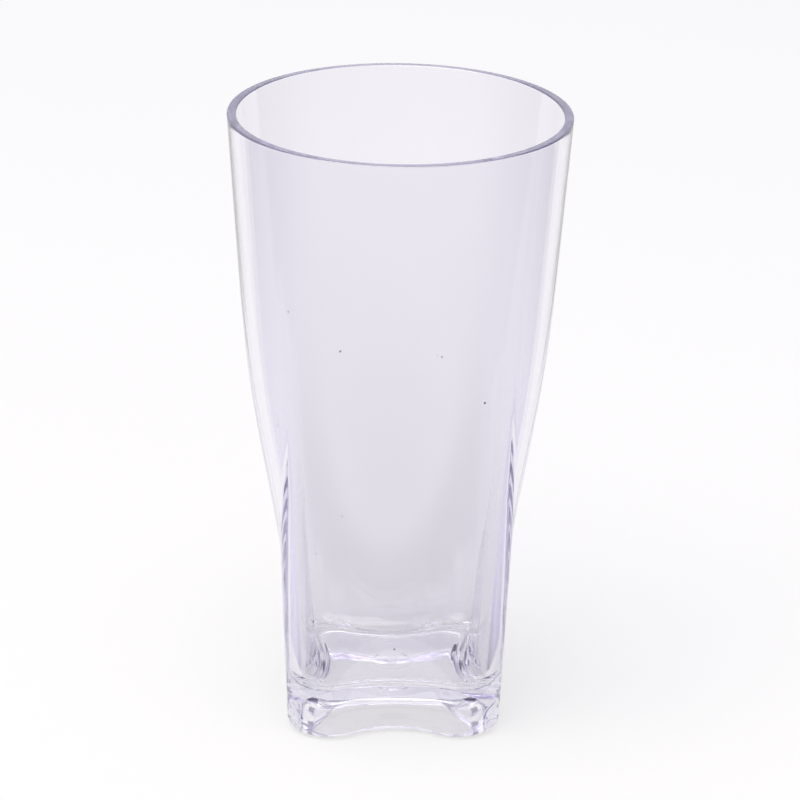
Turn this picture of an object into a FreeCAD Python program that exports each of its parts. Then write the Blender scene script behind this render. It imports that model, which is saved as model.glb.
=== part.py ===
import FreeCAD, Part
import os
from math import atan, cos, radians, sin, sqrt, tan

os.makedirs("parts", exist_ok=True)

# A clear plastic tumbler, injection moulded in one piece. Its four corners run straight from a square,
# hollow foot to the round rim, and open from tight posts into the rim's own curve. Between them the sides
# are dished at the foot, then swell out until they meet the rim.
# Millimetres. The origin is the centre of the ground plane, +Z is up, the sides face X and Y.

# Outer form
height = 161.7
rim_diameter = 88.0
base_width = 55.0           # square across, over the outermost lines of the corners
base_corner_radius = 10.9
base_dish = 5.2             # how far the middle of a side lies behind its corners at the foot
side_angle = 8.4            # lean of the middle of a side near the foot, degrees
side_fall = 1.0             # how much more the middle of a side leans than the corners, below the rim, degrees
flare_start = 30.7          # level where the sides leave their straight lean
flare_end = 120.0           # level where they have taken up the lean of the upper wall
corner_growth_start = 64.0  # level where the corners begin to open
corner_growth_power = 1.78
rim_band = 1.2              # height of the truly round band under the rim

# Wall and cavity
rim_wall = 2.4
base_wall = 4.0
rim_edge_radius = 0.5
floor_thickness = 3.1
floor_radius = 5.0

# Hollow foot
recess_depth = 9.2
foot_outer_radius = 3.0
foot_inner_radius = 0.8
foot_land = 0.3             # flat of the foot ring, where it is narrowest
foot_corner_width = 7.0     # foot ring across a corner
recess_corner_radius = 4.8
recess_side_rounding = 2.2  # rounding under the recess's roof, in the middle of a side
recess_corner_rounding = 3.6  # the same in a corner
recess_draft = 0.3          # how much further out the recess stands at the ground than at its roof

# Gate mark under the floor
gate_disc_diameter = 10.5
gate_disc_depth = 0.3
gate_stub_diameter = 2.0

# Sections that a loft passes through
body_sections = 15
rounding_sections = 7

rim_radius = rim_diameter / 2
round_level = height - rim_band
arc_centre = base_width / 2 - base_corner_radius
base_side = base_width / 2 - base_dish
base_corner = sqrt(2) * arc_centre + base_corner_radius
floor_height = recess_depth + floor_thickness
foot_side_width = foot_outer_radius + foot_land + foot_inner_radius + recess_draft


def corner_distance(z):
    """Axis to a corner line, along the diagonal; the line is straight from the foot to the rim."""
    return base_corner + (rim_radius - base_corner) * z / height


def side_distance(z):
    """Axis to the middle of a side."""
    low = base_side + tan(radians(side_angle)) * z
    high = corner_distance(z) - tan(radians(side_fall)) * (round_level - z)
    share = min(max((z - flare_start) / (flare_end - flare_start), 0.0), 1.0)
    share = share * share * (3 - 2 * share)
    return low + (high - low) * share


def corner_radius(z):
    """Radius of a corner's arc; steady low down, then growing until it is the round band's own."""
    share = max((z - corner_growth_start) / (round_level - corner_growth_start), 0.0)
    return base_corner_radius + (corner_distance(round_level) - base_corner_radius) * share ** corner_growth_power


def side_turn(z):
    """Angle that half a side arc turns through, in radians; below zero the side is dished."""
    z = min(z, 0.999 * round_level)
    centre = (corner_distance(z) - corner_radius(z)) / sqrt(2)
    return 2 * atan(sqrt(2) - 1 - (corner_distance(z) - side_distance(z)) / centre)


def wall(z):
    return base_wall + (rim_wall - base_wall) * z / height


def section_wire(side, corner, turn, z):
    """Closed section of four side arcs and four corner arcs, all tangent to each other."""
    centre = (corner - side) / (sqrt(2) - 1 - tan(turn / 2))
    radius = corner - sqrt(2) * centre
    joint_x = centre + radius * cos(turn)
    joint_y = centre + radius * sin(turn)
    diagonal = corner / sqrt(2)
    edges = []
    for quarter in range(4):
        spin = FreeCAD.Rotation(FreeCAD.Vector(0, 0, 1), 90 * quarter)
        points = [
            FreeCAD.Vector(joint_x, -joint_y, z),
            FreeCAD.Vector(side, 0, z),
            FreeCAD.Vector(joint_x, joint_y, z),
            FreeCAD.Vector(diagonal, diagonal, z),
            FreeCAD.Vector(joint_y, joint_x, z),
        ]
        first, middle, joint, corner_point, last = [spin.multVec(point) for point in points]
        edges.append(Part.Arc(first, middle, joint).toShape())
        edges.append(Part.Arc(joint, corner_point, last).toShape())
    return Part.Wire(edges)


def body_solid(bottom, inset):
    """Body from a level up to the rim, drawn in from the outer face by inset(z): a loft and a round band."""
    wires = []
    for index in range(body_sections):
        z = bottom + (round_level - bottom) * index / (body_sections - 1)
        wires.append(section_wire(side_distance(z) - inset(z), corner_distance(z) - inset(z), side_turn(z), z))
    loft = Part.makeLoft(wires, True, False)
    band = Part.makeCone(
        corner_distance(round_level) - inset(round_level),
        rim_radius - inset(height),
        rim_band,
        FreeCAD.Vector(0, 0, round_level),
    )
    return loft.fuse(band)


def edges_at(shape, z):
    """Edges that lie flat at one level."""
    return [e for e in shape.Edges if abs(e.BoundBox.ZMin - z) < 1e-4 and abs(e.BoundBox.ZMax - z) < 1e-4]


def foot_inner_edges(shape):
    """Edges where the flat land of the foot meets the recess."""
    land = [face for face in shape.Faces if face.BoundBox.ZMax < 1e-4][0]
    recess_wire = [wire for wire in land.Wires if not wire.isSame(land.OuterWire)][0]
    return recess_wire.Edges


def outer_solid():
    solid = body_solid(0.0, lambda z: 0.0)
    return solid.makeFillet(foot_outer_radius, edges_at(solid, 0.0))


def cavity_solid():
    solid = body_solid(floor_height, wall)
    return solid.makeFillet(floor_radius, edges_at(solid, floor_height))


def recess_wire(side, corner, z):
    """Closed section of the recess, whose corners keep one radius."""
    centre = (corner - recess_corner_radius) / sqrt(2)
    turn = 2 * atan((side - recess_corner_radius - centre) / centre)
    return section_wire(side, corner, turn, z)


def recess_solid():
    """Hollow of the foot: drafted walls, then a rounding under the roof that is widest in the corners."""
    side = base_side - foot_side_width
    corner = base_corner - foot_corner_width
    wall_top = recess_depth - recess_corner_rounding
    ground = recess_wire(side + recess_draft, corner + recess_draft, 0.0)
    walls = Part.makeLoft([ground, recess_wire(side, corner, wall_top)], True, True)
    wires = []
    for index in range(rounding_sections):
        angle = radians(90) * index / (rounding_sections - 1)
        z = wall_top + recess_corner_rounding * sin(angle)
        corner_inset = recess_corner_rounding * (1 - cos(angle))
        rise = min(max(1 - (recess_depth - z) / recess_side_rounding, 0.0), 1.0)
        side_inset = recess_side_rounding * (1 - sqrt(1 - rise * rise))
        wires.append(recess_wire(side - side_inset, corner - corner_inset, z))
    return walls.fuse(Part.makeLoft(wires, True, False))


def gate_mark():
    """Shallow disc moulded into the recess roof, with the trimmed gate standing in its middle."""
    roof = FreeCAD.Vector(0, 0, recess_depth)
    disc = Part.makeCylinder(gate_disc_diameter / 2, gate_disc_depth, roof)
    stub_radius = gate_stub_diameter / 2
    return disc.cut(Part.makeCone(stub_radius, stub_radius + gate_disc_depth, gate_disc_depth, roof))


tumbler = outer_solid().cut(cavity_solid()).cut(recess_solid()).cut(gate_mark())
tumbler = tumbler.makeFillet(rim_edge_radius, edges_at(tumbler, height))
tumbler = tumbler.makeFillet(foot_inner_radius, foot_inner_edges(tumbler))
tumbler.exportStep("parts/tumbler.step")
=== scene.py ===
import bpy
from math import cos, pi, radians, sin, sqrt, tan
from mathutils import Matrix, Vector


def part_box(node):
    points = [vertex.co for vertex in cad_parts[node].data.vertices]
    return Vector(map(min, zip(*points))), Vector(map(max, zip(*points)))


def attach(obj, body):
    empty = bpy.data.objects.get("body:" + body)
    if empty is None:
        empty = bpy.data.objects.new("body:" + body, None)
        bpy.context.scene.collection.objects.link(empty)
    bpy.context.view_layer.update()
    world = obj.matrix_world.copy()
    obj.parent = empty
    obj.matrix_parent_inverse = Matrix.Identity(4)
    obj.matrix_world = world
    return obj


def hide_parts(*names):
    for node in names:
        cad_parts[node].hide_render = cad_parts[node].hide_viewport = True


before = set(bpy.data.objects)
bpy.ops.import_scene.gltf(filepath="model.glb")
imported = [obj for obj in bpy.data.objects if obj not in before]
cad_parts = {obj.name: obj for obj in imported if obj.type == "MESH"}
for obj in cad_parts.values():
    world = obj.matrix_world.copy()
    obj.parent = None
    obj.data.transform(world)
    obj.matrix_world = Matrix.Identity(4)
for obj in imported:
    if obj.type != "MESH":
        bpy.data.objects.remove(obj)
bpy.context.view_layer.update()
print("frame loaded:", ", ".join(sorted(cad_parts)))

mm = 0.001


# ---------- helpers ----------

def addNode(tree, kind, inputs=None, **settings):
    node = tree.nodes.new(kind)
    for name, value in settings.items():
        setattr(node, name, value)
    for key, value in (inputs or {}).items():
        if isinstance(value, bpy.types.NodeSocket):
            tree.links.new(value, node.inputs[key])
        else:
            node.inputs[key].default_value = value
    return node


def hexColour(text):
    channels = [int(text[start:start + 2], 16) / 255 for start in (0, 2, 4)]
    linear = [c / 12.92 if c <= 0.04045 else ((c + 0.055) / 1.055) ** 2.4 for c in channels]
    return (*linear, 1.0)


def emptyTree(owner):
    owner.use_nodes = True
    owner.node_tree.nodes.clear()
    return owner.node_tree


# ---------- material ----------

clearPlastic = {
    "ior": 1.585,
    "tint": "e7e5f0",        # toner in the depth of the wall
    "density": 18.0,         # per metre
    "haze": "f7f6fa",        # what each skin of the wall lets through
    "clearness": 1.0,
    "roughness": 0.012,      # mould polish
    "waveAcross": 16.0,      # mm, width of the melt's flow marks round the wall
    "waveAlong": 70.0,       # mm, their length up the wall
    "waveDepth": 0.02,       # mm
    "speckGap": 7.0,         # mm between the places where a charred speck may sit
    "speckSize": 0.34,       # mm, radius of the largest
    "speckShare": 0.3,       # share of the places that hold one
    "speckColour": "3a3436",
}


def clearPolycarbonate():
    # Injection-moulded polycarbonate: water clear with a faint violet toner, polished by the mould.
    material = bpy.data.materials.new("clear moulded polycarbonate")
    tree = emptyTree(material)
    place = addNode(tree, "ShaderNodeTexCoord").outputs["Object"]

    # flow marks, drawn out along the height
    across, along = 1 / (clearPlastic["waveAcross"] * mm), 1 / (clearPlastic["waveAlong"] * mm)
    stretched = addNode(tree, "ShaderNodeVectorMath", {0: place, 1: (across, across, along)}, operation="MULTIPLY")
    wave = addNode(tree, "ShaderNodeTexNoise", {
        "Vector": stretched.outputs[0], "Scale": 1.0, "Detail": 2.0, "Roughness": 0.4})
    ripple = addNode(tree, "ShaderNodeBump", {
        "Height": wave.outputs[0], "Strength": 1.0, "Distance": clearPlastic["waveDepth"] * mm})

    # charred specks: some cells hold one in their middle, up to the largest size
    grains = addNode(tree, "ShaderNodeTexVoronoi", {
        "Vector": place, "Scale": 1 / (clearPlastic["speckGap"] * mm)}, feature="F1")
    chance = addNode(tree, "ShaderNodeSeparateColor", {0: grains.outputs["Color"]})
    radius = addNode(tree, "ShaderNodeMapRange", {
        "Value": chance.outputs[0], "From Min": 1 - clearPlastic["speckShare"], "From Max": 1.0,
        "To Min": 0.0, "To Max": clearPlastic["speckSize"] / clearPlastic["speckGap"]})
    speck = addNode(tree, "ShaderNodeMath", {
        0: grains.outputs["Distance"], 1: radius.outputs[0]}, operation="LESS_THAN")
    colour = addNode(tree, "ShaderNodeMix", {
        0: speck.outputs[0], 6: hexColour(clearPlastic["haze"]), 7: hexColour(clearPlastic["speckColour"])},
        data_type="RGBA")

    surface = addNode(tree, "ShaderNodeBsdfPrincipled", {
        "Base Color": colour.outputs[2],
        "Roughness": clearPlastic["roughness"],
        "IOR": clearPlastic["ior"],
        "Transmission Weight": clearPlastic["clearness"],
        "Normal": ripple.outputs[0],
    })
    volume = addNode(tree, "ShaderNodeVolumeAbsorption", {
        "Color": hexColour(clearPlastic["tint"]),
        "Density": clearPlastic["density"],
    })
    addNode(tree, "ShaderNodeOutputMaterial", {"Surface": surface.outputs[0], "Volume": volume.outputs[0]})
    return material


# ---------- the glass ----------

# Lengths in millimetres, angles in degrees
glassSizes = {
    "baseWidth": 55.0,
    "baseCornerRadius": 10.9,
    "baseDish": 5.2,
    "sideAngle": 8.4,
    "sideFall": 1.0,
    "flareStart": 30.7,
    "flareEnd": 120.0,
    "growthStart": 64.0,
    "growthPower": 1.78,
    "rimBand": 1.2,
    "rimWall": 2.4,
    "baseWall": 4.0,
    "rimEdgeRadius": 0.5,
    "floorThickness": 3.1,
    "floorRadius": 5.0,
    "recessDepth": 9.2,
    "footOuterRadius": 3.0,
    "footInnerRadius": 0.8,
    "footSideWidth": 4.4,
    "footCornerWidth": 7.0,
    "recessCornerRadius": 4.8,
    "recessSideRounding": 2.2,
    "recessCornerRounding": 3.6,
    "recessDraft": 0.3,
    "gateDiscRadius": 5.25,
    "gateDiscDepth": 0.3,
    "gateStubRadius": 1.0,
    "gateDiscRounding": 0.06,
    "gateStubRounding": 0.1,
    "pointsAround": 256,
    "ringStep": 1.4,         # between the rings up the wall
    "arcPoints": 14,         # on each rounding of the profile
    "creaseAngle": 35.0,     # edges that turn further stay sharp
    "weldGap": 0.002,
    "lawShare": 0.999,       # of the round band's level; the section's law stops just short of it
}


def insideBox():
    # the visual model stays just inside the solid's box
    low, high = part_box("tumbler")
    return high.z, (high.x - low.x) / 2


def floorWall(height):
    # level of the cavity's floor, and the wall there
    g = glassSizes
    floor = g["recessDepth"] + g["floorThickness"]
    return floor, g["baseWall"] + (g["rimWall"] - g["baseWall"]) * floor / height


def sectionProfile(height):
    # Corners of the wall's profile: inset from the outer skin, level, rounding, recess share, round share
    g = glassSizes
    axis = g["baseWidth"] / 2 - g["baseDish"]
    floor, wall = floorWall(height)
    discTop = g["recessDepth"] + g["gateDiscDepth"]
    discEdge = axis - g["gateDiscRadius"]
    stubEdge = axis - g["gateStubRadius"]
    return [
        (axis, floor, 0.0, 0, 1),
        (wall, floor, g["floorRadius"], 0, 0),
        (g["rimWall"], height, g["rimEdgeRadius"], 0, 0),
        (0.0, height, g["rimEdgeRadius"], 0, 0),
        (0.0, 0.0, g["footOuterRadius"], 0, 0),
        (g["footSideWidth"] - g["recessDraft"], 0.0, g["footInnerRadius"], 1, 0),
        (g["footSideWidth"], g["recessDepth"] - g["recessCornerRounding"], 0.0, 1, 0),
        (g["footSideWidth"], g["recessDepth"], g["recessSideRounding"], 1, 0),
        (discEdge, g["recessDepth"], g["gateDiscRounding"], 1, 1),
        (discEdge, discTop, g["gateDiscRounding"], 1, 1),
        (stubEdge - g["gateDiscDepth"], discTop, 0.0, 1, 1),
        (stubEdge, g["recessDepth"], g["gateStubRounding"], 1, 1),
        (axis, g["recessDepth"], 0.0, 1, 1),
    ]


def profileObject(points):
    mesh = bpy.data.meshes.new("wall profile")
    edges = [(i, i + 1) for i in range(len(points) - 1)]
    mesh.from_pydata([(x * mm, 0.0, z * mm) for x, z, *rest in points], edges, [])
    for place, name in enumerate(("rounding", "recessShare", "roundShare")):
        scale = mm if name == "rounding" else 1.0
        attribute = mesh.attributes.new(name, "FLOAT", "POINT")
        attribute.data.foreach_set("value", [point[2 + place] * scale for point in points])
    profile = bpy.data.objects.new("wall profile", mesh)
    bpy.context.scene.collection.objects.link(profile)
    return profile


def glassTree(material):
    # Sweeps the profile round a ring and lays every ring on the body's section at its level
    g = glassSizes
    tree = bpy.data.node_groups.new("tumbler wall", "GeometryNodeTree")
    tree.interface.new_socket("Geometry", in_out="INPUT", socket_type="NodeSocketGeometry")
    lengths = ["Base Side", "Base Corner", "Base Radius", "Radius Growth", "Growth Start", "Round Level", "Law Top",
               "Flare Start", "Flare End", "Floor Limit", "Recess Limit", "Recess Depth", "Recess Lead",
               "Recess Radius", "Side Rounding", "Corner Rounding", "Ring Step"]
    plain = ["Side Slope", "Corner Slope", "Side Fall", "Growth Power"]
    for name in lengths + plain:
        tree.interface.new_socket(name, in_out="INPUT", socket_type="NodeSocketFloat")
    tree.interface.new_socket("Points Around", in_out="INPUT", socket_type="NodeSocketInt")
    tree.interface.new_socket("Geometry", in_out="OUTPUT", socket_type="NodeSocketGeometry")
    given = addNode(tree, "NodeGroupInput").outputs

    # the profile, rounded at its corners and cut into short steps
    line = addNode(tree, "GeometryNodeMeshToCurve", {"Mesh": given["Geometry"]})
    rounding = addNode(tree, "GeometryNodeInputNamedAttribute", {"Name": "rounding"}, data_type="FLOAT")
    rounded = addNode(tree, "GeometryNodeFilletCurve", {
        "Curve": line.outputs[0], "Count": g["arcPoints"], "Radius": rounding.outputs[0]}, mode="POLY")
    along = addNode(tree, "GeometryNodeSplineParameter")
    index = addNode(tree, "GeometryNodeInputIndex")
    nextIndex = addNode(tree, "ShaderNodeMath", {0: index.outputs[0], 1: 1.0}, operation="ADD")
    nextLength = addNode(tree, "GeometryNodeFieldAtIndex", {
        "Index": nextIndex.outputs[0], "Value": along.outputs["Length"]}, domain="POINT", data_type="FLOAT")
    stepLength = addNode(tree, "ShaderNodeMath", {0: nextLength.outputs[0], 1: along.outputs["Length"]},
                         operation="SUBTRACT")
    stepCount = addNode(tree, "ShaderNodeMath", {0: stepLength.outputs[0], 1: given["Ring Step"]}, operation="DIVIDE")
    cuts = addNode(tree, "ShaderNodeMath", {0: stepCount.outputs[0], 1: 0.0}, operation="MAXIMUM")
    stepped = addNode(tree, "GeometryNodeSubdivideCurve", {"Curve": rounded.outputs[0], "Cuts": cuts.outputs[0]})

    # swept round a ring; each point keeps its inset, its level and its place round the ring
    place = addNode(tree, "GeometryNodeInputPosition")
    profileLine = addNode(tree, "GeometryNodeStoreNamedAttribute", {
        "Geometry": stepped.outputs[0], "Name": "profilePlace", "Value": place.outputs[0]},
        data_type="FLOAT_VECTOR", domain="POINT")
    ring = addNode(tree, "GeometryNodeCurvePrimitiveCircle", {"Resolution": given["Points Around"], "Radius": 1.0})
    ringLine = addNode(tree, "GeometryNodeStoreNamedAttribute", {
        "Geometry": ring.outputs[0], "Name": "ringPlace", "Value": index.outputs[0]}, data_type="FLOAT", domain="POINT")
    swept = addNode(tree, "GeometryNodeCurveToMesh", {
        "Curve": profileLine.outputs[0], "Profile Curve": ringLine.outputs[0]})

    # how far the sides have flared and the corners have grown
    profilePlace = addNode(tree, "GeometryNodeInputNamedAttribute", {"Name": "profilePlace"}, data_type="FLOAT_VECTOR")
    ringPlace = addNode(tree, "GeometryNodeInputNamedAttribute", {"Name": "ringPlace"}, data_type="FLOAT")
    recessShare = addNode(tree, "GeometryNodeInputNamedAttribute", {"Name": "recessShare"}, data_type="FLOAT")
    roundShare = addNode(tree, "GeometryNodeInputNamedAttribute", {"Name": "roundShare"}, data_type="FLOAT")
    apart = addNode(tree, "ShaderNodeSeparateXYZ", {0: profilePlace.outputs[0]})
    lawLevel = addNode(tree, "ShaderNodeMath", {0: apart.outputs["Z"], 1: given["Law Top"]}, operation="MINIMUM")
    flare = addNode(tree, "ShaderNodeMapRange", {
        "Value": lawLevel.outputs[0], "From Min": given["Flare Start"], "From Max": given["Flare End"]},
        interpolation_type="SMOOTHSTEP")
    growth = addNode(tree, "ShaderNodeMapRange", {
        "Value": lawLevel.outputs[0], "From Min": given["Growth Start"], "From Max": given["Round Level"]})
    values = {name: given[name] for name in lengths + plain + ["Points Around"]}
    values.update(inset=apart.outputs["X"], level=apart.outputs["Z"], ring=ringPlace.outputs[0],
                  recess=recessShare.outputs[0], round=roundShare.outputs[0], lawLevel=lawLevel.outputs[0],
                  flare=flare.outputs[0], growth=growth.outputs[0])

    # Each row: a value's name, the operation, and what it works on
    rows = [
        # the body: how far the middle of a side stays behind the corner, and the turn of the side's arc
        ("law corner", "MULTIPLY_ADD", "lawLevel", "Corner Slope", "Base Corner"),
        ("square side", "MULTIPLY_ADD", "lawLevel", "Side Slope", "Base Side"),
        ("below round", "SUBTRACT", "lawLevel", "Round Level"),
        ("upper side", "MULTIPLY_ADD", "below round", "Side Fall", "law corner"),
        ("side growth", "SUBTRACT", "upper side", "square side"),
        ("law side", "MULTIPLY_ADD", "side growth", "flare", "square side"),
        ("body lead", "SUBTRACT", "law corner", "law side"),
        ("growth part", "POWER", "growth", "Growth Power"),
        ("law radius", "MULTIPLY_ADD", "growth part", "Radius Growth", "Base Radius"),
        ("body reach", "SUBTRACT", "law corner", "law radius"),
        ("body centre", "MULTIPLY", "body reach", sqrt(0.5)),
        ("body ratio", "DIVIDE", "body lead", "body centre"),
        ("body tangent", "SUBTRACT", sqrt(2) - 1, "body ratio"),
        ("body half turn", "ARCTANGENT", "body tangent"),
        ("body corner", "MULTIPLY_ADD", "level", "Corner Slope", "Base Corner"),
        # flat parts keep the last section of their rounding
        ("limit change", "SUBTRACT", "Recess Limit", "Floor Limit"),
        ("limit", "MULTIPLY_ADD", "limit change", "recess", "Floor Limit"),
        ("draw in", "MINIMUM", "inset", "limit"),
        ("drawn corner", "SUBTRACT", "body corner", "draw in"),
        # the recess: its roof is rounded off wider in the corners than along the sides
        ("below roof", "SUBTRACT", "Recess Depth", "level"),
        *[row for part in ("Side", "Corner") for row in (
            (part + " drop", "DIVIDE", "below roof", part + " Rounding"),
            (part + " rise", "SUBTRACT", 1.0, part + " drop"),
            (part + " climb", "MAXIMUM", part + " rise", 0.0),
            (part + " climb square", "MULTIPLY", part + " climb", part + " climb"),
            (part + " rest", "SUBTRACT", 1.0, part + " climb square"),
            (part + " root", "SQRT", part + " rest"),
            (part + " fall", "SUBTRACT", 1.0, part + " root"),
            (part + " round in", "MULTIPLY", part + " fall", part + " Rounding"),
        )],
        ("corner extra", "SUBTRACT", "Corner round in", "Side round in"),
        ("recess lead", "SUBTRACT", "Recess Lead", "corner extra"),
        ("recess side", "SUBTRACT", "Base Side", "draw in"),
        ("recess corner", "ADD", "recess side", "recess lead"),
        ("recess reach", "SUBTRACT", "recess corner", "Recess Radius"),
        ("recess centre", "MULTIPLY", "recess reach", sqrt(0.5)),
        ("recess ratio", "DIVIDE", "recess lead", "recess centre"),
        ("recess tangent", "SUBTRACT", sqrt(2) - 1, "recess ratio"),
        ("recess half turn", "ARCTANGENT", "recess tangent"),
        # from the body to the recess across the land of the foot
        ("lead change", "SUBTRACT", "recess lead", "body lead"),
        ("lead", "MULTIPLY_ADD", "lead change", "recess", "body lead"),
        ("corner change", "SUBTRACT", "recess corner", "drawn corner"),
        ("corner", "MULTIPLY_ADD", "corner change", "recess", "drawn corner"),
        ("turn change", "SUBTRACT", "recess half turn", "body half turn"),
        ("half turn", "MULTIPLY_ADD", "turn change", "recess", "body half turn"),
        ("turn", "MULTIPLY_ADD", "half turn", 2.0, 1e-5),
        # arc centres and radii of the section
        ("turn tangent", "TANGENT", "half turn"),
        ("reach", "SUBTRACT", sqrt(2) - 1, "turn tangent"),
        ("centre", "DIVIDE", "lead", "reach"),
        ("corner radius", "MULTIPLY_ADD", "centre", -sqrt(2), "corner"),
        ("turn sine", "SINE", "turn"),
        ("side bow", "DIVIDE", "centre", "turn sine"),
        ("side radius", "ADD", "side bow", "corner radius"),
        ("side reach", "SUBTRACT", "corner", "lead"),
        # place round the ring, as an eighth and a share of it
        ("eighths", "MULTIPLY", "ring", 8.0),
        ("eighth", "DIVIDE", "eighths", "Points Around"),
        ("half eighth", "MULTIPLY", "eighth", 0.5),
        ("quarter", "ROUND", "half eighth"),
        ("offset", "MULTIPLY_ADD", "quarter", -2.0, "eighth"),
        ("share", "ABSOLUTE", "offset"),
        ("hand", "SIGN", "offset"),
        # point on the side's arc
        ("side half angle", "MULTIPLY", "share", "turn"),
        ("side angle", "MULTIPLY", "side half angle", 2.0),
        ("half sine", "SINE", "side half angle"),
        ("half sine square", "MULTIPLY", "half sine", "half sine"),
        ("side drop", "MULTIPLY", "half sine square", "side radius"),
        ("side x", "MULTIPLY_ADD", "side drop", -2.0, "side reach"),
        ("side sine", "SINE", "side angle"),
        ("side y", "MULTIPLY", "side sine", "side radius"),
        # point on the corner's arc
        ("corner share", "MULTIPLY_ADD", "share", 2.0, -1.0),
        ("corner span", "SUBTRACT", pi / 4, "turn"),
        ("corner angle", "MULTIPLY_ADD", "corner share", "corner span", "turn"),
        ("corner cosine", "COSINE", "corner angle"),
        ("corner sine", "SINE", "corner angle"),
        ("corner x", "MULTIPLY_ADD", "corner cosine", "corner radius", "centre"),
        ("corner y", "MULTIPLY_ADD", "corner sine", "corner radius", "centre"),
        ("on corner", "GREATER_THAN", "share", 0.5),
        ("x step", "SUBTRACT", "corner x", "side x"),
        ("y step", "SUBTRACT", "corner y", "side y"),
        ("section x", "MULTIPLY_ADD", "x step", "on corner", "side x"),
        ("section y half", "MULTIPLY_ADD", "y step", "on corner", "side y"),
        ("section y", "MULTIPLY", "section y half", "hand"),
        # point on a circle round the axis
        ("circle radius", "SUBTRACT", "Base Side", "inset"),
        ("circle angle", "MULTIPLY", "offset", pi / 4),
        ("circle cosine", "COSINE", "circle angle"),
        ("circle sine", "SINE", "circle angle"),
        ("circle x", "MULTIPLY", "circle cosine", "circle radius"),
        ("circle y", "MULTIPLY", "circle sine", "circle radius"),
        ("x change", "SUBTRACT", "circle x", "section x"),
        ("y change", "SUBTRACT", "circle y", "section y"),
        ("x", "MULTIPLY_ADD", "x change", "round", "section x"),
        ("y", "MULTIPLY_ADD", "y change", "round", "section y"),
        ("spin", "MULTIPLY", "quarter", pi / 2),
    ]
    for name, operation, *terms in rows:
        sockets = {slot: values.get(term, term) for slot, term in enumerate(terms)}
        values[name] = addNode(tree, "ShaderNodeMath", sockets, operation=operation).outputs[0]

    spot = addNode(tree, "ShaderNodeCombineXYZ", {"X": values["x"], "Y": values["y"], "Z": values["level"]})
    turned = addNode(tree, "ShaderNodeVectorRotate", {"Vector": spot.outputs[0], "Angle": values["spin"]},
                     rotation_type="Z_AXIS")
    placed = addNode(tree, "GeometryNodeSetPosition", {"Geometry": swept.outputs[0], "Position": turned.outputs[0]})
    welded = addNode(tree, "GeometryNodeMergeByDistance", {
        "Geometry": placed.outputs[0], "Distance": g["weldGap"] * mm})
    edge = addNode(tree, "GeometryNodeInputMeshEdgeAngle")
    sharp = addNode(tree, "ShaderNodeMath", {
        0: edge.outputs["Unsigned Angle"], 1: radians(g["creaseAngle"])}, operation="GREATER_THAN")
    smooth = addNode(tree, "GeometryNodeSetShadeSmooth", {
        "Geometry": welded.outputs[0], "Shade Smooth": True}, domain="FACE")
    creased = addNode(tree, "GeometryNodeSetShadeSmooth", {
        "Geometry": smooth.outputs[0], "Selection": sharp.outputs[0], "Shade Smooth": False}, domain="EDGE")
    outward = addNode(tree, "GeometryNodeFlipFaces", {"Mesh": creased.outputs[0]})
    real = addNode(tree, "GeometryNodeRealizeInstances", {"Geometry": outward.outputs[0]})
    finished = addNode(tree, "GeometryNodeSetMaterial", {"Geometry": real.outputs[0], "Material": material})
    addNode(tree, "NodeGroupOutput", {"Geometry": finished.outputs[0]})
    return tree


def makeGlass(material):
    g = glassSizes
    height, rimRadius = insideBox()
    arcCentre = g["baseWidth"] / 2 - g["baseCornerRadius"]
    baseSide = g["baseWidth"] / 2 - g["baseDish"]
    baseCorner = sqrt(2) * arcCentre + g["baseCornerRadius"]
    cornerSlope = (rimRadius / mm - baseCorner) / (height / mm)
    roundLevel = height / mm - g["rimBand"]
    inputs = {
        "Base Side": baseSide * mm,
        "Base Corner": baseCorner * mm,
        "Base Radius": g["baseCornerRadius"] * mm,
        "Radius Growth": (baseCorner + cornerSlope * roundLevel - g["baseCornerRadius"]) * mm,
        "Growth Start": g["growthStart"] * mm,
        "Round Level": roundLevel * mm,
        "Law Top": g["lawShare"] * roundLevel * mm,
        "Flare Start": g["flareStart"] * mm,
        "Flare End": g["flareEnd"] * mm,
        "Floor Limit": (floorWall(height / mm)[1] + g["floorRadius"]) * mm,
        "Recess Limit": (g["footSideWidth"] + g["recessSideRounding"]) * mm,
        "Recess Depth": g["recessDepth"] * mm,
        "Recess Lead": (baseCorner - g["footCornerWidth"] - baseSide + g["footSideWidth"]) * mm,
        "Recess Radius": g["recessCornerRadius"] * mm,
        "Side Rounding": g["recessSideRounding"] * mm,
        "Corner Rounding": g["recessCornerRounding"] * mm,
        "Ring Step": g["ringStep"] * mm,
        "Side Slope": tan(radians(g["sideAngle"])),
        "Corner Slope": cornerSlope,
        "Side Fall": tan(radians(g["sideFall"])),
        "Growth Power": g["growthPower"],
        "Points Around": g["pointsAround"],
    }
    profile = profileObject(sectionProfile(height / mm))
    tree = glassTree(material)
    modifier = profile.modifiers.new("wall", "NODES")
    modifier.node_group = tree
    for item in tree.interface.items_tree:
        if item.in_out == "INPUT" and item.name in inputs:
            modifier[item.identifier] = inputs[item.name]
    evaluated = profile.evaluated_get(bpy.context.evaluated_depsgraph_get())
    mesh = bpy.data.meshes.new_from_object(evaluated)
    mesh.name = "clear tumbler"
    for attribute in [a.name for a in mesh.attributes if a.name in (
            "rounding", "recessShare", "roundShare", "profilePlace", "ringPlace")]:
        mesh.attributes.remove(mesh.attributes[attribute])
    glass = bpy.data.objects.new("clear_tumbler", mesh)
    bpy.context.scene.collection.objects.link(glass)
    bpy.data.objects.remove(profile)
    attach(glass, "root")
    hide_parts("tumbler")
    return glass


moulding = clearPolycarbonate()
print("material made:", moulding.name)
glass = makeGlass(moulding)
print("glass made:", len(glass.data.polygons), "faces")


# ---------- camera ----------

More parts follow.
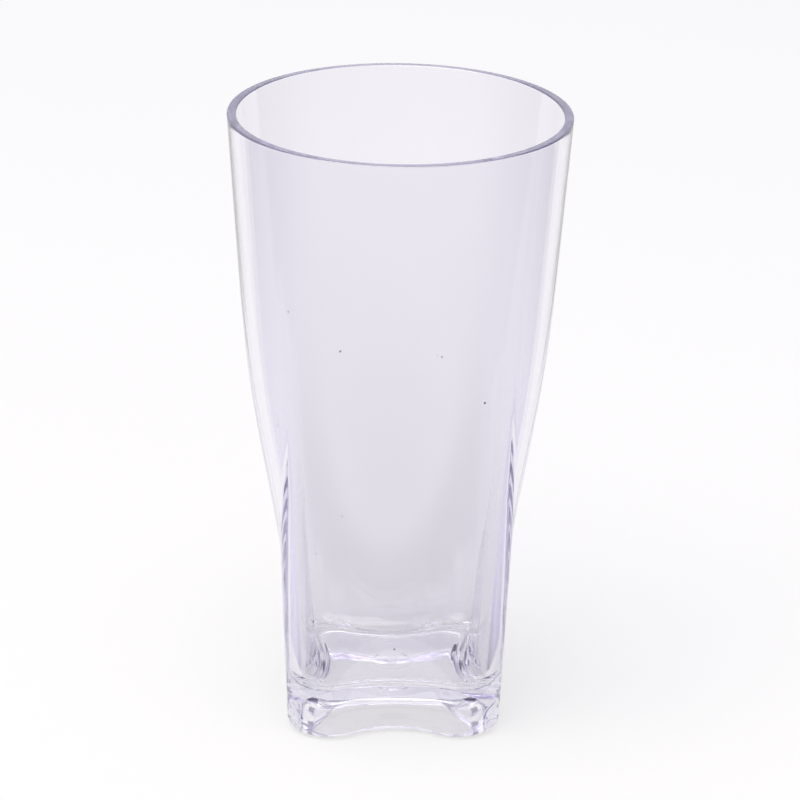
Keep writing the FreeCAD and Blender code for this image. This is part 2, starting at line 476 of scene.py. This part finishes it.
# Degrees, metres and millimetres of lens on a 36 mm sensor
viewPoint = {
    "azimuth": -2.71,
    "elevation": 20.911,
    "distance": 1.25,
    "lens": 217.506,
    "roll": 1.008,
    "aimRight": 0.001148,
    "aimUp": 0.00307,
}


def makeCamera():
    azimuth, elevation = radians(viewPoint["azimuth"]), radians(viewPoint["elevation"])
    back = Vector((sin(azimuth) * cos(elevation), -cos(azimuth) * cos(elevation), sin(elevation)))
    sideways = Vector((cos(azimuth), sin(azimuth), 0.0))
    middle = Vector((0.0, 0.0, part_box("tumbler")[1].z / 2))
    target = middle + sideways * viewPoint["aimRight"] + back.cross(sideways) * viewPoint["aimUp"]
    place = middle + back * viewPoint["distance"]
    forward = (target - place).normalized()
    level = forward.cross(Vector((0.0, 0.0, 1.0))).normalized()
    upright = level.cross(forward)
    roll = radians(viewPoint["roll"])
    right = level * cos(roll) + upright * sin(roll)
    up = upright * cos(roll) - level * sin(roll)
    camera = bpy.data.objects.new("camera", bpy.data.cameras.new("camera"))
    camera.data.sensor_width = 36.0
    camera.data.lens = viewPoint["lens"]
    camera.data.clip_end = 50.0
    camera.matrix_world = Matrix((
        (right.x, up.x, -forward.x, place.x),
        (right.y, up.y, -forward.y, place.y),
        (right.z, up.z, -forward.z, place.z),
        (0.0, 0.0, 0.0, 1.0),
    ))
    bpy.context.scene.collection.objects.link(camera)
    bpy.context.scene.camera = camera


makeCamera()
print("camera placed")


# ---------- studio ----------

def seenDirectly(tree):
    path = addNode(tree, "ShaderNodeLightPath")
    both = addNode(tree, "ShaderNodeMath", {
        0: path.outputs["Is Camera Ray"], 1: path.outputs["Is Glossy Ray"]}, operation="ADD")
    return addNode(tree, "ShaderNodeMath", {
        0: both.outputs[0], 1: path.outputs["Is Transmission Ray"]}, operation="ADD", use_clamp=True).outputs[0]


whiteRoom = {
    "colour": "ebe9f6",
    "level": 0.72,
}


def makeWorld():
    world = bpy.data.worlds.new("white studio")
    bpy.context.scene.world = world
    tree = emptyTree(world)
    light = addNode(tree, "ShaderNodeBackground", {
        "Color": hexColour(whiteRoom["colour"]), "Strength": whiteRoom["level"]})
    white = addNode(tree, "ShaderNodeBackground", {"Color": (1.0, 1.0, 1.0, 1.0), "Strength": 1.0})
    mixed = addNode(tree, "ShaderNodeMixShader", {0: seenDirectly(tree), 1: light.outputs[0], 2: white.outputs[0]})
    addNode(tree, "ShaderNodeOutputWorld", {"Surface": mixed.outputs[0]})


# Metres and watts
softBox = {
    "colour": "fffbf0",
    "size": 1.4,
    "power": 18.0,
    "place": (-0.4, -0.5, 1.6),
}


def makeLamp():
    # soft box above, a little to the left and in front
    lamp = bpy.data.objects.new("soft box", bpy.data.lights.new("soft box", "AREA"))
    lamp.data.shape = "SQUARE"
    lamp.data.size = softBox["size"]
    lamp.data.energy = softBox["power"]
    lamp.data.color = hexColour(softBox["colour"])[:3]
    place = Vector(softBox["place"])
    lamp.location = place
    lamp.rotation_euler = place.to_track_quat("Z", "Y").to_euler()
    bpy.context.scene.collection.objects.link(lamp)


paperFloor = {
    "colour": "fbfafa",
    "size": 12.0,              # metres
    "glow": 0.62,              # share of plain white in what a camera, mirror or glass sees of the paper
}


def makeFloor():
    half = paperFloor["size"] / 2
    mesh = bpy.data.meshes.new("floor")
    corners = [(-half, -half, 0.0), (half, -half, 0.0), (half, half, 0.0), (-half, half, 0.0)]
    mesh.from_pydata(corners, [], [(0, 1, 2, 3)])
    floor = bpy.data.objects.new("floor", mesh)
    bpy.context.scene.collection.objects.link(floor)
    material = bpy.data.materials.new("white studio paper")
    tree = emptyTree(material)
    paper = addNode(tree, "ShaderNodeBsdfDiffuse", {"Color": hexColour(paperFloor["colour"])})
    glow = addNode(tree, "ShaderNodeEmission", {"Color": (1.0, 1.0, 1.0, 1.0), "Strength": 1.0})
    share = addNode(tree, "ShaderNodeMath", {0: seenDirectly(tree), 1: paperFloor["glow"]}, operation="MULTIPLY")
    mixed = addNode(tree, "ShaderNodeMixShader", {0: share.outputs[0], 1: paper.outputs[0], 2: glow.outputs[0]})
    addNode(tree, "ShaderNodeOutputMaterial", {"Surface": mixed.outputs[0]})
    floor.data.materials.append(material)


# Metres and degrees
paintedReflectionSheet = {
    "start": 0.055,            # runs out from the glass over the paper, then up
    "run": 1.5,
    "bend": 0.05,
    "rise": 1.2,
    "lift": 0.0008,            # above the paper
    "reach": 125.0,            # to either side of the front
    "steps": 48,
    "sideTurn": -0.2,          # cosine of the turn from the front where the side's colours begin
    "frontTurn": 0.75,         # and where the front's are full
    "nearRun": 0.07,           # distances from the axis where the near colours end and the far ones are full
    "farRun": 0.5,
    # painted reflection colours: dark in front near the glass as a painted shade of the room, pale lavender at the
    # sides near it, grey and white further out
    "nearSide": "eae8f6",
    "farSide": "b8b7bd",
    "nearFront": "4a4845",
    "farFront": "ffffff",
}


def makePaintedReflectionSheet():
    # painted reflections: a sheet laid round the front of the glass and hung up beyond it; only the glass's reflections
    # find it, and its colours paint the dark room and the lavender shade that they show
    c = paintedReflectionSheet
    foot = c["run"] + c["bend"]
    line = [(c["start"], c["lift"]), (c["run"], c["lift"]), (foot, c["bend"]), (foot, c["rise"])]
    reach = radians(c["reach"])
    steps = c["steps"]
    turns = [-reach + 2 * reach * i / steps for i in range(steps + 1)]
    points = [(run * sin(turn), -run * cos(turn), up) for turn in turns for run, up in line]
    faces = [(i, i + 1, i + 5, i + 4) for i in range(len(points) - 4) if i % 4 < 3]
    mesh = bpy.data.meshes.new("reflectionSheet")
    mesh.from_pydata(points, [], faces)
    reflectionSheet = bpy.data.objects.new("reflectionSheet", mesh)
    bpy.context.scene.collection.objects.link(reflectionSheet)
    material = bpy.data.materials.new("painted reflection sheet")
    tree = emptyTree(material)
    place = addNode(tree, "ShaderNodeTexCoord").outputs["Object"]
    flat = addNode(tree, "ShaderNodeVectorMath", {0: place, 1: (1.0, 1.0, 0.0)}, operation="MULTIPLY")
    run = addNode(tree, "ShaderNodeVectorMath", {0: flat.outputs[0]}, operation="LENGTH")
    direction = addNode(tree, "ShaderNodeVectorMath", {0: flat.outputs[0]}, operation="NORMALIZE")
    frontness = addNode(tree, "ShaderNodeVectorMath", {0: direction.outputs[0], 1: (0.0, -1.0, 0.0)},
                        operation="DOT_PRODUCT")
    front = addNode(tree, "ShaderNodeMapRange", {
        "Value": frontness.outputs["Value"], "From Min": c["sideTurn"], "From Max": c["frontTurn"]},
        interpolation_type="SMOOTHSTEP")
    far = addNode(tree, "ShaderNodeMapRange", {
        "Value": run.outputs["Value"], "From Min": c["nearRun"], "From Max": c["farRun"]},
        interpolation_type="SMOOTHSTEP")
    frontColour = addNode(tree, "ShaderNodeMix", {
        0: far.outputs[0], 6: hexColour(c["nearFront"]), 7: hexColour(c["farFront"])}, data_type="RGBA")
    sideColour = addNode(tree, "ShaderNodeMix", {
        0: far.outputs[0], 6: hexColour(c["nearSide"]), 7: hexColour(c["farSide"])}, data_type="RGBA")
    colour = addNode(tree, "ShaderNodeMix", {
        0: front.outputs[0], 6: sideColour.outputs[2], 7: frontColour.outputs[2]}, data_type="RGBA")
    # the painted reflection that the glass shows
    paintedReflection = addNode(tree, "ShaderNodeBsdfDiffuse", {"Color": colour.outputs[2]})
    # a look straight through the wall passes it and finds the white floor
    reflected = addNode(tree, "ShaderNodeMath", {
        0: addNode(tree, "ShaderNodeLightPath").outputs["Glossy Depth"], 1: 0.5}, operation="GREATER_THAN")
    hidden = addNode(tree, "ShaderNodeBsdfTransparent")
    surface = addNode(tree, "ShaderNodeMixShader", {0: reflected.outputs[0], 1: hidden.outputs[0], 2: paintedReflection.outputs[0]})
    addNode(tree, "ShaderNodeOutputMaterial", {"Surface": surface.outputs[0]})
    reflectionSheet.data.materials.append(material)
    reflectionSheet.visible_camera = False
    reflectionSheet.visible_shadow = False
    reflectionSheet.visible_diffuse = False


makeWorld()
makeLamp()
makeFloor()
makePaintedReflectionSheet()
print("studio ready")

bpy.context.scene.view_settings.view_transform = "Standard"

# light runs along inside the wall by many reflections before it comes out
lightPaths = bpy.context.scene.cycles
lightPaths.max_bounces = 96
lightPaths.glossy_bounces = 64
lightPaths.transmission_bounces = 64
